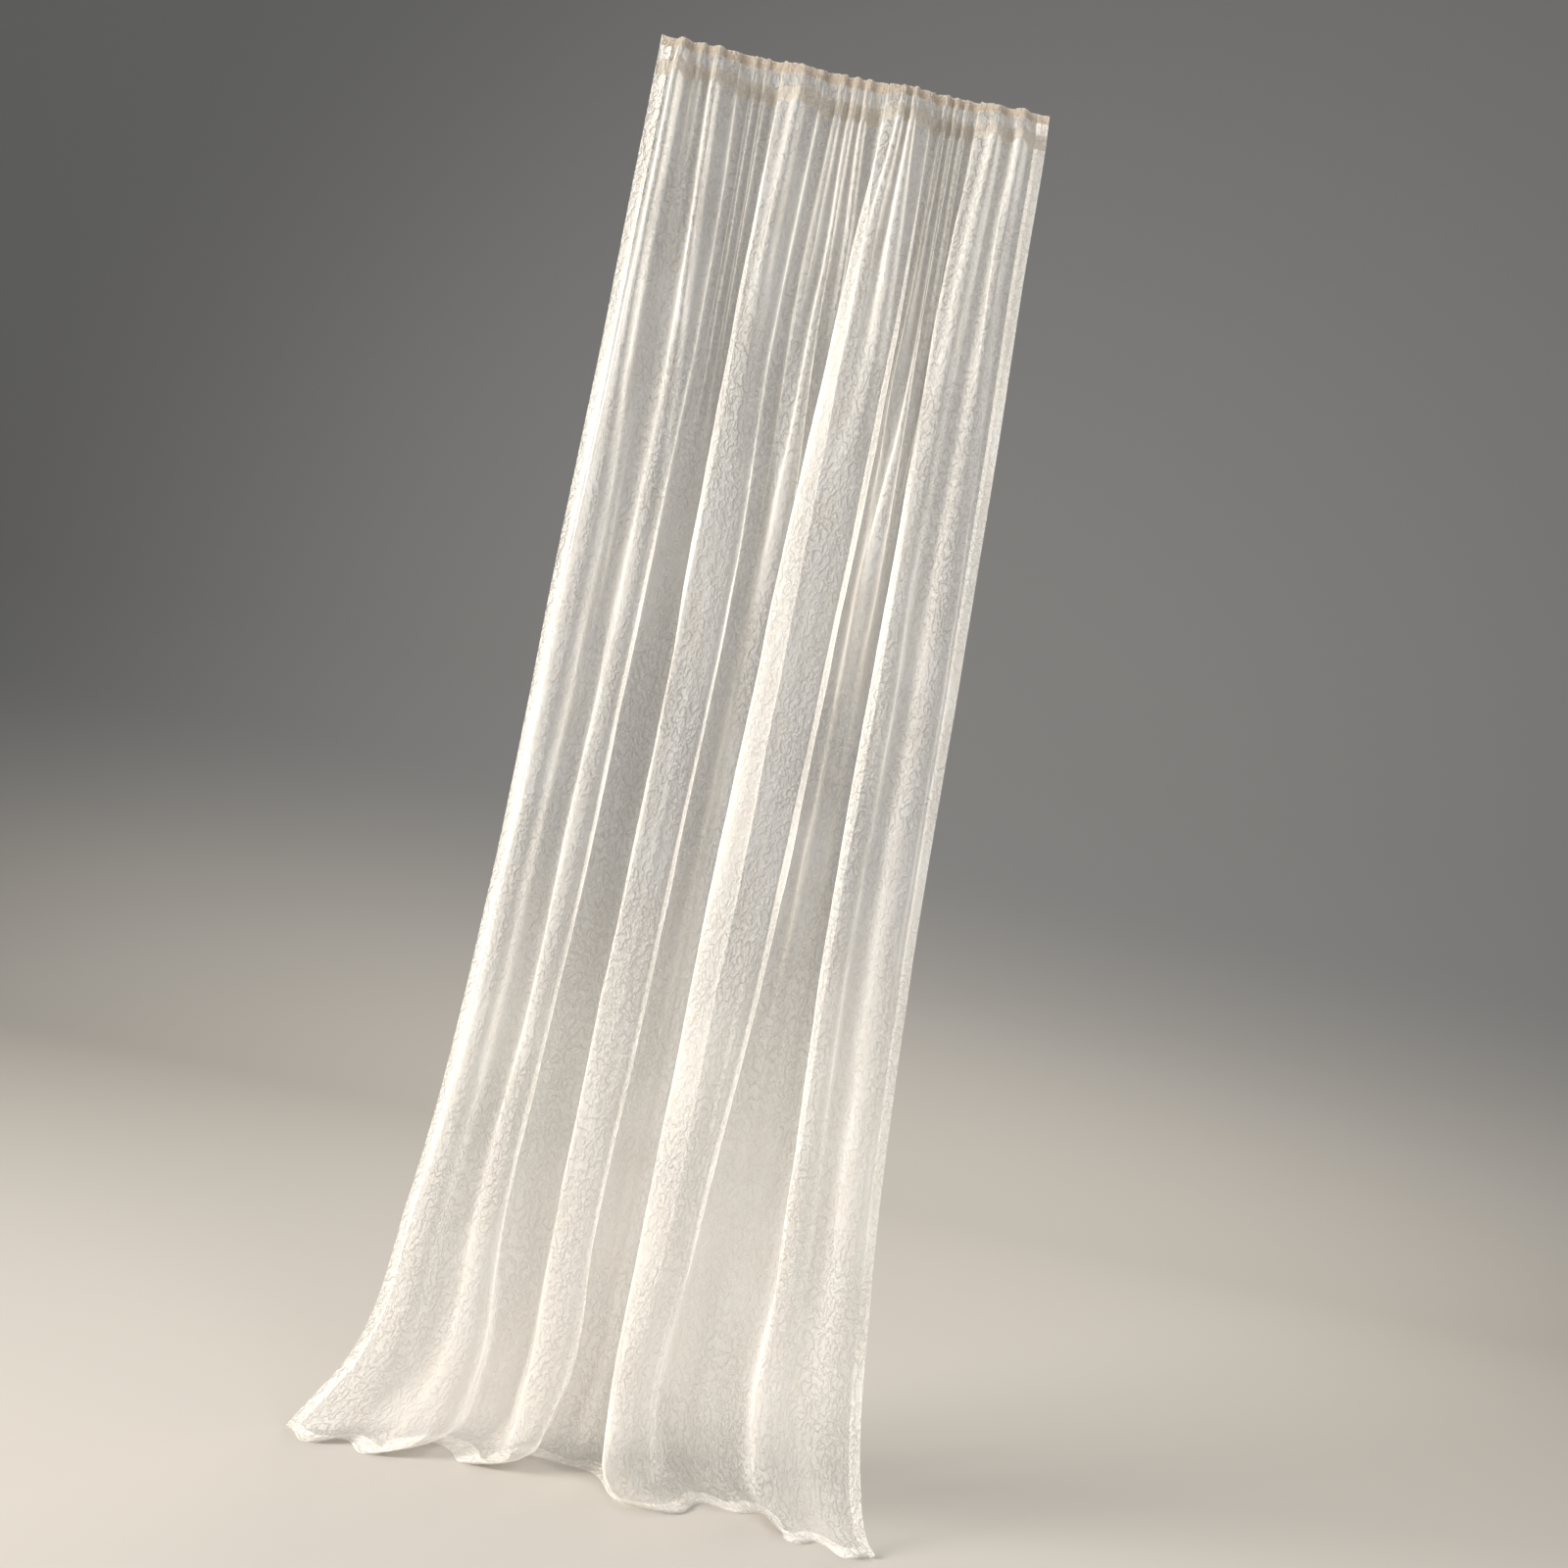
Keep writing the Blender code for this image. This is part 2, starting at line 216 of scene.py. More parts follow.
# The small ruffle over the heading's top edge: its height, its cells, where it ends and its draw.
RUFFLE_HEIGHT = 0.0036
RUFFLE_CELL = 0.011
RUFFLE_FADE = 0.016
RUFFLE_DRAW = 51

# How much light one layer of the cloth stops face on. It stops more where it is seen edge on, down
# to the least facing. A face that looks up or down counts for less than one that looks to the room.
COVER_OF_ONE_LAYER = 0.28
LEAST_FACING = 0.11
FACING_UP_SHARE = 0.8
# The cloth lies this far over its own lowest point, and over the floor.
FLOOR_CLEARANCE = 0.0005

# Sewing: the pitch, length and thickness of a stitch, how far it stands off the cloth, its flatness,
# and how far in from the edges of the tape and the hems its rows run.
STITCH_PITCH = 0.0042
STITCH_LENGTH = 0.0030
STITCH_THICKNESS = 0.00045
STITCH_LIFT = 0.0003
STITCH_FLATNESS = 0.7
TAPE_STITCH_INSET = 0.004
HEM_STITCH_INSET = 0.0015

# A studio light: its place and aim, its size in metres, its spread in degrees, its watts and colour.
Light = namedtuple("Light", "name place aim size spread watts colour")
STUDIO_LIGHTS = [
    Light("key", (-4.3, -2.3, 0.1), (0.0, 0.0, -1.25), 2.2, 100.0, 190.0, (1.0, 0.97, 0.93)),
    Light("fill", (2.4, -3.5, -0.8), (0.0, 0.0, -1.5), 2.6, 180.0, 120.0, (0.97, 0.98, 1.0)),
    Light("behind", (1.2, 3.9, 0.8), (1.2, 0.0, 0.8), 3.2, 180.0, 200.0, (1.0, 0.96, 0.88)),
]

# The camera: level, at the photograph's distance, and turned 12 degrees about its own axis.
CAMERA_DISTANCE = 3.13
CAMERA_RIGHT = 0.143
CAMERA_BELOW_TOP = 1.306
CAMERA_TURN = np.radians(12.0)
FOCAL_PIXELS = 1728.0
IMAGE_PIXELS = 1600.0
SENSOR_WIDTH = 36.0


def smooth_step(start, end, value):
    """0 up to start, 1 from end on, and between them 3 s^2 - 2 s^3 of the share s."""
    share = np.clip((value - start) / (end - start), 0.0, 1.0)
    return share * share * (3.0 - 2.0 * share)


def smooth_line(knots, values, at):
    """A cubic curve through the values at the knots, with the mean slopes of the neighbours there."""
    values = np.asarray(values, float)
    slopes = np.gradient(values, knots)
    index = np.clip(np.searchsorted(knots, at, side="right") - 1, 0, len(knots) - 2)
    span = knots[index + 1] - knots[index]
    share = (at - knots[index]) / span
    rise = share * share * (3.0 - 2.0 * share)
    left = span * slopes[index] * share * (1.0 - share) ** 2
    right = span * slopes[index + 1] * share * share * (1.0 - share)
    return values[index] + (values[index + 1] - values[index]) * rise + left - right


def running_sum(rates, step):
    """The running integral along each row by the trapezium rule, from 0 at the row's start."""
    inner = np.cumsum((rates[:, 1:] + rates[:, :-1]) / 2 * step, axis=1)
    return np.hstack((np.zeros((len(rates), 1)), inner))


def height_down(depths):
    """Minus the integral of the sine of the slope, which eases from upright to the floor's slope."""
    fine = np.linspace(0.0, CLOTH_LENGTH, FINE_STEPS)
    upright = np.pi / 2
    slope = upright - (upright - FLOOR_SLOPE) * smooth_step(BEND_START, BEND_END, fine)
    return -np.interp(depths, fine, running_sum(np.sin(slope)[None], fine[1])[0])


def long_fold_turns(depths, across):
    """Sum over the long folds of way x turn x cos^2, a hump as wide as the fold's arc each way.

    In the heading a fold is narrow and turns no further than a pleat does.
    """
    down = depths[:, None]
    low = smooth_step(TURN_HIGH, TURN_LOW, down)
    floor = smooth_step(FLOOR_EASE_START, BEND_END, down)
    formed = smooth_step(PLEATS_FULL_TO, FOLDS_FULL_AT, down)
    width = NARROW_SHARE + (1.0 - NARROW_SHARE) * smooth_step(NARROW_TO, WIDE_AT, down)
    width = width + (FLOOR_SPREAD - 1.0) * floor
    turns = np.zeros((len(depths), len(across)))
    for fold in LONG_FOLDS[1:-1]:
        turn = fold.turn_high + (fold.turn_low - fold.turn_high) * low
        turn = turn + (fold.turn_floor - turn) * floor
        turn = HEADING_TURN + (turn - HEADING_TURN) * formed
        reach = np.clip((across - fold.place) / (fold.arc * width), -1.0, 1.0)
        turns += fold.way * np.radians(turn) * np.cos(np.pi * reach / 2) ** 2
    return turns


def pleat_turns(depths, across):
    """Sum over the heading's pleats of turn x tanh(k sin), out to the room and back.

    Down to the depth where it is gone, a pleat fades by the cosine of a quarter turn, and a soft
    sine as wide as its swell comes in by the sine.
    """
    turns = np.zeros((len(depths), len(across)))
    for pleat in PLEATS:
        reach = np.clip((across - pleat.place) / pleat.arc, -1.0, 1.0)
        turn = np.radians(pleat.turn)
        sharpness = pleat.arc / (np.pi * turn * CREST_RADIUS)
        sharp = np.tanh(sharpness * np.sin(np.pi * reach)) * turn
        gone = smooth_step(PLEATS_FULL_TO, pleat.gone_at, depths)[:, None] * np.pi / 2
        turns += np.cos(gone) * sharp
        if pleat.swell:
            reach = np.clip((across - pleat.place) / pleat.swell, -1.0, 1.0)
            turns += np.sin(gone) * np.sin(np.pi * reach)
    return turns


def slack_turns(across):
    """A sine of the share between two long folds, as many whole waves as the fold's swells say."""
    turns = np.zeros(len(across))
    way = 1.0
    for left, right in zip(LONG_FOLDS, LONG_FOLDS[1:]):
        share = (across - left.place) / (right.place - left.place)
        inside = (share >= 0.0) & (share <= 1.0)
        turns -= inside * way * np.sin(2 * np.pi * left.swells * share)
        way = -way
    return turns


def held_under(largest, turns):
    """turns / (1 + |turns / largest|^n)^(1/n), which holds them softly under the largest turn."""
    return turns / (1.0 + (np.abs(turns) / largest) ** TURN_HOLD) ** (1 / TURN_HOLD)


def plan_of(depths, across):
    """X and Y of the cloth: the running integrals of the cosine and sine of its direction in plan.

    The direction is the long folds' turns plus the slack's, and the slack between two long folds is
    scaled, by halving an interval, until the cloth reaches just from one fold's line to the next.
    """
    step = across[1] - across[0]
    folded = long_fold_turns(depths, across)
    waves = smooth_step(WAVES_START, WAVES_FULL_AT, depths)[:, None]
    slack = (1.0 - waves) * pleat_turns(depths, across) + waves * slack_turns(across)
    lines = [smooth_line(STATIONS, fold.line, depths) for fold in LONG_FOLDS]
    turns = np.zeros_like(folded)
    for index, (left, right) in enumerate(zip(LONG_FOLDS, LONG_FOLDS[1:])):
        inside = (across >= left.place - step / 4) & (across <= right.place + step / 4)
        wanted = lines[index + 1] - lines[index]
        low = np.zeros(len(depths))
        high = np.full(len(depths), LARGEST_SLACK)
        for _ in range(SOLVER_STEPS):
            factor = (low + high) / 2
            scaled = held_under(LARGEST_SLACK_TURN, factor[:, None] * slack[:, inside])
            turned = held_under(LARGEST_TURN, folded[:, inside] + scaled)
            reached = running_sum(np.cos(turned), step)[:, -1]
            low = np.where(reached > wanted, factor, low)
            high = np.where(reached > wanted, high, factor)
        turns[:, inside] = turned
    x = lines[0][:, None] + running_sum(np.cos(turns), step)
    y = running_sum(np.sin(turns), step)
    return x, y - y.mean(1, keepdims=True)


def uneven(across, down, cell_across, cell_down, draw):
    """Smooth value noise from -1 to 1: random corners of a lattice, blended by smooth steps."""
    random = np.random.default_rng(draw)
    shape = (int(CLOTH_LENGTH / cell_down) + 3, int(CLOTH_WIDTH / cell_across) + 3)
    corners = random.uniform(-1.0, 1.0, shape)
    u, v = across / cell_across, down / cell_down
    column, row = np.floor(u).astype(int), np.floor(v).astype(int)
    right, below = smooth_step(0.0, 1.0, u - column), smooth_step(0.0, 1.0, v - row)
    upper = corners[row, column] * (1 - right) + corners[row, column + 1] * right
    lower = corners[row + 1, column] * (1 - right) + corners[row + 1, column + 1] * right
    return upper * (1 - below) + lower * below


def crease_relief(across, down):
    """Sum over the creases of height x exp(-(distance / width)^2), fading to nothing at both ends."""
    relief = np.zeros(across.shape)
    for crease in CREASES:
        run = np.array([crease.to_across - crease.from_across, crease.to_down - crease.from_down])
        length = np.hypot(*run)
        run /= length
        from_start = np.stack((across - crease.from_across, down - crease.from_down))
        along = run[0] * from_start[0] + run[1] * from_start[1]
        aside = run[0] * from_start[1] - run[1] * from_start[0]
        share = np.clip(along / length, 0.0, 1.0)
        fade = smooth_step(0.0, 0.25, share) * smooth_step(0.0, 0.25, 1.0 - share)
        relief += crease.height * fade * np.exp(-((aside / crease.width) ** 2))
    return relief


def surface_normals(points):
    """Cross product of the steps down and across, made unit: it points to the room on flat cloth."""
    across = np.gradient(points, axis=1)
    down = np.gradient(points, axis=0)
    normals = np.cross(down, across)
    return normals / np.linalg.norm(normals, axis=2, keepdims=True)


class Drape:
    """The draped cloth as arrays over its flat width and length, read at any place on it."""

    def __init__(self):
        """Drapes the grid, then moves it along its normals by the creases and the crinkle."""
        self.across = np.linspace(0.0, CLOTH_WIDTH, COLUMNS + 1)
        even = np.linspace(0.0, 1.0, ROWS + 1)
        self.down = CLOTH_LENGTH * (even + ROW_SHIFT * np.sin(2 * np.pi * even))
        x, y = plan_of(self.down, self.across)
        knots = np.array([fold.place for fold in LONG_FOLDS])
        run_out = smooth_line(knots, [fold.run_out for fold in LONG_FOLDS], self.across)
        gone = smooth_step(BEND_START, CLOTH_LENGTH, self.down)[:, None]
        z = np.repeat(height_down(self.down)[:, None], COLUMNS + 1, axis=1)
        let_go = smooth_step(0.0, PINCH_END, self.down)[:, None]
        y *= PINCHED_DEPTH + (1.0 - PINCHED_DEPTH) * let_go
        smooth = np.stack((x, y - gone * run_out, z), axis=2)
        self.normals = surface_normals(smooth)
        s, t = np.meshgrid(self.across, self.down)
        relief = crease_relief(s, t)
        for cell_across, cell_down, height, draw in CRINKLES:
            relief += height * uneven(s, t, cell_across, cell_down, draw)
        heading = smooth_step(RELIEF_START, RELIEF_FULL_AT, t)
        hem = smooth_step(0.0, EDGE_FADE, CLOTH_LENGTH - t)
        hem = hem * (1.0 - RELIEF_AT_EDGE) + RELIEF_AT_EDGE
        self.points = smooth + self.normals * (relief * heading * hem)[:, :, None]
        ruffle = RUFFLE_HEIGHT * (0.5 + 0.5 * uneven(s, t * 0, RUFFLE_CELL, 1.0, RUFFLE_DRAW))
        self.points[:, :, 2] += ruffle * (1.0 - smooth_step(0.0, RUFFLE_FADE, t))
        lowest = height_down(CLOTH_LENGTH) + FLOOR_CLEARANCE
        self.points[:, :, 2] = np.maximum(self.points[:, :, 2], lowest)
        self.normals = surface_normals(self.points)
        facing = np.abs(self.normals[:, :, 1])
        facing = np.maximum(facing, np.abs(self.normals[:, :, 2]) * FACING_UP_SHARE)
        facing = np.clip(facing, LEAST_FACING, 1.0)
        self.cover = 1.0 - (1.0 - COVER_OF_ONE_LAYER) ** (1.0 / facing)

    def read(self, values, across, down):
        """The grid's values at the places, blended between the four nearest points."""
        u = np.interp(across, self.across, np.arange(COLUMNS + 1))
        v = np.interp(down, self.down, np.arange(ROWS + 1))
        column = np.minimum(u.astype(int), COLUMNS - 1)
        row = np.minimum(v.astype(int), ROWS - 1)
        right, below = u - column, v - row
        if values.ndim == 3:
            right, below = right[..., None], below[..., None]
        upper = values[row, column] * (1 - right) + values[row, column + 1] * right
        lower = values[row + 1, column] * (1 - right) + values[row + 1, column + 1] * right
        return upper * (1 - below) + lower * below

    def at(self, across, down, lift=0.0):
        """Points on the cloth at the places, moved along its normals towards the room by lift."""
        normals = self.read(self.normals, across, down)
        normals /= np.linalg.norm(normals, axis=-1, keepdims=True)
        return self.read(self.points, across, down) + normals * np.asarray(lift)[..., None]


def grid_object(name, points, across, down, cover, material):
    """A sheet over a grid of points, faces towards the room, with flat-cloth UVs and its cover."""
    rows, columns = across.shape
    index = np.arange(rows * columns).reshape(rows, columns)
    corners = (index[:-1, :-1], index[1:, :-1], index[1:, 1:], index[:-1, 1:])
    faces = np.stack([corner.ravel() for corner in corners], axis=1)
    mesh = bpy.data.meshes.new(name)
    mesh.vertices.add(rows * columns)
    mesh.vertices.foreach_set("co", points.reshape(-1).astype(np.float32))
    mesh.loops.add(faces.size)
    mesh.loops.foreach_set("vertex_index", faces.reshape(-1).astype(np.int32))
    mesh.polygons.add(len(faces))
    mesh.polygons.foreach_set("loop_start", np.arange(0, faces.size, 4, dtype=np.int32))
    mesh.update(calc_edges=True)
    flat = np.stack((across.ravel(), down.ravel()), axis=1)[faces.reshape(-1)]
    uv = mesh.uv_layers.new(name="flat_cloth")
    uv.data.foreach_set("uv", flat.reshape(-1).astype(np.float32))
    shade = mesh.attributes.new("cover", "FLOAT", "POINT")
    shade.data.foreach_set("value", np.asarray(cover).reshape(-1).astype(np.float32))
    mesh.validate()
    mesh.shade_smooth()
    mesh.materials.append(material)
    made = bpy.data.objects.new(name, mesh)
    bpy.context.scene.collection.objects.link(made)
    return made


def strip_object(
    name, drape, from_place, to_place, columns, rows, lift, material, layers=1, raw_edge=None
):
    """A strip of cloth that follows the drape between two places (across, down), moved by lift.

    A raw edge is a place (across, down), with None where it doesn't count. Near it the strip is
    denser. Its cover is 1 - (1 - cover of one layer) ^ layers.
    """
    s, t = np.meshgrid(
        np.linspace(from_place[0], to_place[0], columns + 1),
        np.linspace(from_place[1], to_place[1], rows + 1),
    )
    cover = 1.0 - (1.0 - drape.read(drape.cover, s, t)) ** layers
    if raw_edge:
        away = np.abs(s - raw_edge[0]) if raw_edge[1] is None else np.abs(t - raw_edge[1])
        cover = np.where(away < TURNED_UNDER, np.maximum(cover, COVER_TURNED_UNDER), cover)
    return grid_object(name, drape.at(s, t, lift), s, t, cover, material)


def stitch_row(drape, start, end, lift):
    """Points of a row of stitches: each is a six-pointed bead, long ways along the row.

    Centres stand a pitch apart on the flat cloth from start to end. The bead's axes are the row's
    direction on the drape, the cloth's normal, and their cross product.
    """
    start, end = np.array(start), np.array(end)
    length = np.linalg.norm(end - start)
    share = (np.arange(int(length / STITCH_PITCH)) + 0.5) * STITCH_PITCH / length
    half = STITCH_LENGTH / 2 / length
    places = [
        start[:, None] + (end - start)[:, None] * (share + move) for move in (-half, 0.0, half)
    ]
    back, centre, front = [drape.at(place[0], place[1], lift) for place in places]
    ahead = front - back
    ahead /= np.linalg.norm(ahead, axis=1, keepdims=True)
    out = drape.read(drape.normals, places[1][0], places[1][1])
    out /= np.linalg.norm(out, axis=1, keepdims=True)
    side = np.cross(ahead, out)
    thick = STITCH_THICKNESS / 2
    corners = [back, front, centre + side * thick, centre - side * thick]
    corners += [centre + out * thick * STITCH_FLATNESS, centre - out * thick * STITCH_FLATNESS]
    return np.stack(corners, axis=1)


def stitches_object(name, rows, material):
    """One mesh of all the beads: eight triangles each, on back, front and the four side points."""
    beads = np.concatenate(rows)
    ring = np.array([(2, 4), (4, 3), (3, 5), (5, 2)])
    front = np.stack((np.full(4, 1), ring[:, 0], ring[:, 1]), axis=1)
    back = np.stack((np.full(4, 0), ring[:, 1], ring[:, 0]), axis=1)
    faces = np.concatenate((front, back))
    faces = (np.arange(len(beads)) * 6)[:, None, None] + faces[None]
    mesh = bpy.data.meshes.new(name)
    mesh.from_pydata(beads.reshape(-1, 3).tolist(), [], faces.reshape(-1, 3).tolist())
    mesh.update()
    mesh.shade_smooth()
    mesh.materials.append(material)
    made = bpy.data.objects.new(name, mesh)
    bpy.context.scene.collection.objects.link(made)
    return made


class Nodes:
    """A material's node tree with short ways to add and join nodes."""

    def __init__(self, name):
        self.material = bpy.data.materials.new(name)
        self.material.use_nodes = True
        self.tree = self.material.node_tree
        self.tree.nodes.clear()

    def add(self, kind, inputs=None, **settings):
        """A new node with its settings. An input is a value, or the output that feeds it."""
        node = self.tree.nodes.new(kind)
        for key, value in settings.items():
            setattr(node, key, value)
        for key, value in (inputs or {}).items():
            if isinstance(value, bpy.types.NodeSocket):
                self.tree.links.new(value, node.inputs[key])
            else:
                node.inputs[key].default_value = value
        return node

    def math(self, operation, first, second=0.0, clamp=False):
        """The output of one sum or function of two values."""
        inputs = {0: first, 1: second}
        return self.add("ShaderNodeMath", inputs, operation=operation, use_clamp=clamp).outputs[0]

    def spread(self, value, low, high, new_low, new_high):
        """The value's range from low to high laid out from new_low to new_high, and held there."""
        inputs = {
            "Value": value, "From Min": low, "From Max": high, "To Min": new_low, "To Max": new_high,
        }
        return self.add("ShaderNodeMapRange", inputs).outputs["Result"]

    def mix_colour(self, factor, first, second):
        """The first colour at a factor of 0, the second at 1."""
        inputs = {0: factor, 6: first, 7: second}
        return self.add("ShaderNodeMix", inputs, data_type="RGBA").outputs[2]

    def mix_value(self, factor, first, second):
        """The first value at a factor of 0, the second at 1."""
        inputs = {0: factor, 2: first, 3: second}
        return self.add("ShaderNodeMix", inputs, data_type="FLOAT").outputs[0]


def flat_place(nodes):
    """The place on the flat cloth, in metres across and down."""
    return nodes.add("ShaderNodeUVMap", uv_map="flat_cloth").outputs["UV"]


def crepe(nodes, cells_across, cells_down, detail):
    """Noise over the flat cloth, in cells to the metre across and down."""
    scale = (cells_across, cells_down, 1.0)
    place = nodes.add("ShaderNodeMapping", {"Vector": flat_place(nodes), "Scale": scale})
    inputs = {"Vector": place.outputs[0], "Scale": 1.0, "Detail": detail}
    return nodes.add("ShaderNodeTexNoise", inputs, noise_dimensions="2D").outputs["Fac"]


def winding_lines(nodes, noise, sharpness):
    """(1 - |2 noise - 1|) ^ sharpness: thin lines that wind where the noise crosses its middle."""
    middle = nodes.math("SUBTRACT", nodes.math("MULTIPLY", noise, 2.0), 1.0)
    near = nodes.math("SUBTRACT", 1.0, nodes.math("ABSOLUTE", middle))
    return nodes.math("POWER", near, sharpness)


def across_edge(nodes, down, edge, before, after):
    """One value above an edge of a band and another below it, blended over the edge."""
    return nodes.spread(down, edge - BAND_EDGE, edge + BAND_EDGE, before, after)


def painted_shade_over_tape(nodes):
    """The mask of the painted shade on the cloth over the tape: 1 over its top band, a share of it over its
    foot band, and 0 elsewhere.
    """
    down = nodes.add("ShaderNodeSeparateXYZ", {"Vector": flat_place(nodes)}).outputs[1]
    top = across_edge(nodes, down, TAPE_TOP_BAND, 1.0, 0.0)
    foot = across_edge(nodes, down, TAPE_FOOT_BAND, 0.0, PAINTED_SHADE_OVER_FOOT_BAND)
    above_end = across_edge(nodes, down, TAPE_HEIGHT, 1.0, 0.0)
    return nodes.math("ADD", top, nodes.math("MULTIPLY", foot, above_end))


def sheer_body(nodes, matt, lit_through, share, cover):
    """The matt finish with its share lit through, as dense as its cover and clear between."""
    body = nodes.add(
        "ShaderNodeMixShader", {0: share, 1: matt.outputs[0], 2: lit_through.outputs[0]}
    )
    clear = nodes.add("ShaderNodeBsdfTransparent")
    mixed = nodes.add("ShaderNodeMixShader", {0: cover, 1: clear.outputs[0], 2: body.outputs[0]})
    nodes.add("ShaderNodeOutputMaterial", {"Surface": mixed.outputs[0]})
    return nodes.material


def cloth_finish(name, light, shade, crinkle):
    """Sheer cloth: a matt and a see-through share by its cover, lit from both sides, and crinkled.

    The crinkle is winding lines over soft noise, strong in some places and faint in others. The
    lines are a little denser than the cloth around them.
    """
    nodes = Nodes(name)
    lines = winding_lines(nodes, crepe(nodes, 62.0, 38.0, 2.0), 6.0)
    fine = winding_lines(nodes, crepe(nodes, 150.0, 80.0, 1.0), 5.0)
    soft = crepe(nodes, 30.0, 9.0, 1.0)
    patches = nodes.spread(crepe(nodes, 6.0, 2.6, 1.0), 0.38, 0.62, 0.35, 1.0)
    lines, fine = nodes.math("MULTIPLY", lines, 0.6), nodes.math("MULTIPLY", fine, 0.16)
    creased = nodes.math("ADD", lines, fine)
    creased = nodes.math("MULTIPLY", creased, patches)
    relief = nodes.math("ADD", creased, nodes.math("MULTIPLY", soft, 0.5))
    bump = nodes.add("ShaderNodeBump", {"Height": relief, "Strength": crinkle, "Distance": 0.011})
    colour = nodes.mix_colour(nodes.spread(soft, 0.3, 0.7, 0.0, 1.0), shade, light)
    # Painted shade: the cloth's colour goes to a tan over the tape's bands, where the tape lies behind it.
    colour = nodes.mix_colour(painted_shade_over_tape(nodes), colour, CLOTH_PAINTED_SHADE_OVER_TAPE)
    matt = nodes.add(
        "ShaderNodeBsdfPrincipled",
        {"Base Color": colour, "Roughness": 0.7, "Sheen Weight": 0.3, "Sheen Roughness": 0.5,
         "Specular IOR Level": 0.4, "Normal": bump.outputs[0]},
    )
    lit_through = nodes.add("ShaderNodeBsdfTranslucent", {"Color": colour, "Normal": bump.outputs[0]})
    cover = nodes.add("ShaderNodeAttribute", attribute_name="cover").outputs["Fac"]
    closer = nodes.spread(creased, 0.0, 0.7, -0.015, 0.110)
    cover = nodes.math("ADD", cover, closer, clamp=True)
    return sheer_body(nodes, matt, lit_through, LIT_THROUGH_CLOTH, cover)


def tape_finish():
    """Woven tape: a dense band at the top, a lighter one at the foot, open netting between them."""
    nodes = Nodes("heading tape weave")
    axes = nodes.add("ShaderNodeSeparateXYZ", {"Vector": flat_place(nodes)})
    across, down = axes.outputs[0], axes.outputs[1]
    under_top = across_edge(nodes, down, TAPE_TOP_BAND, 0.0, 1.0)
    in_foot = across_edge(nodes, down, TAPE_FOOT_BAND, 0.0, 1.0)
    ribs = nodes.math("SINE", nodes.math("MULTIPLY", across, 2 * np.pi / RIB_PITCH))
    cords = nodes.math("SINE", nodes.math("MULTIPLY", across, 2 * np.pi / CORD_PITCH))
    cords = nodes.spread(cords, 0.90, 0.97, 0.0, 1.0)
    blotch = crepe(nodes, 60.0, 90.0, 2.0)
    bump = nodes.add("ShaderNodeBump", {"Height": ribs, "Strength": 0.4, "Distance": 0.0004})
    colour = nodes.mix_colour(blotch, TAPE_SHADE, TAPE_LIGHT)
    colour = nodes.mix_colour(in_foot, colour, TAPE_FOOT)
    matt = nodes.add(
        "ShaderNodeBsdfPrincipled",
        {"Base Color": colour, "Roughness": 0.82, "Specular IOR Level": 0.25,
         "Normal": bump.outputs[0]},
    )
    lit_through = nodes.add("ShaderNodeBsdfTranslucent", {"Color": colour, "Normal": bump.outputs[0]})
    netting = nodes.spread(cords, 0.0, 1.0, 0.02, 0.85)
    below = nodes.mix_value(in_foot, netting, 0.72)
    cover = nodes.mix_value(under_top, 0.97, below)
    cover = nodes.math("ADD", cover, nodes.spread(blotch, 0.3, 0.7, -0.06, 0.06), clamp=True)
    return sheer_body(nodes, matt, lit_through, LIT_THROUGH_TAPE, cover)


def thread_finish():
    """Matt off-white sewing thread with a little tone from place to place."""
    nodes = Nodes("sewing thread")
    place = nodes.add("ShaderNodeTexCoord").outputs["Object"]
    noise = nodes.add("ShaderNodeTexNoise", {"Vector": place, "Scale": 220.0, "Detail": 2.0})
    colour = nodes.mix_colour(noise.outputs["Fac"], THREAD_SHADE, THREAD_LIGHT)
    shader = nodes.add("ShaderNodeBsdfPrincipled", {"Base Color": colour, "Roughness": 0.7})
    nodes.add("ShaderNodeOutputMaterial", {"Surface": shader.outputs[0]})
    return nodes.material


def paper_finish(floor_height):
    """Plain matt paper, pale on the floor and a dark grey up the wall, by height."""
    nodes = Nodes("studio paper")
    place = nodes.add("ShaderNodeTexCoord").outputs["Object"]
    height = nodes.add("ShaderNodeSeparateXYZ", {"Vector": place}).outputs[2]
    up = nodes.add(
        "ShaderNodeMapRange",
        {"Value": height, "From Min": floor_height, "From Max": floor_height + 1.2,
         "To Min": 0.0, "To Max": 1.0},
        interpolation_type="SMOOTHSTEP",
    )
    tone = nodes.mix_colour(up.outputs["Result"], PAPER_FLOOR, PAPER_WALL)
    shader = nodes.add("ShaderNodeBsdfPrincipled", {"Base Color": tone, "Roughness": 0.95})
    nodes.add("ShaderNodeOutputMaterial", {"Surface": shader.outputs[0]})
    return nodes.material


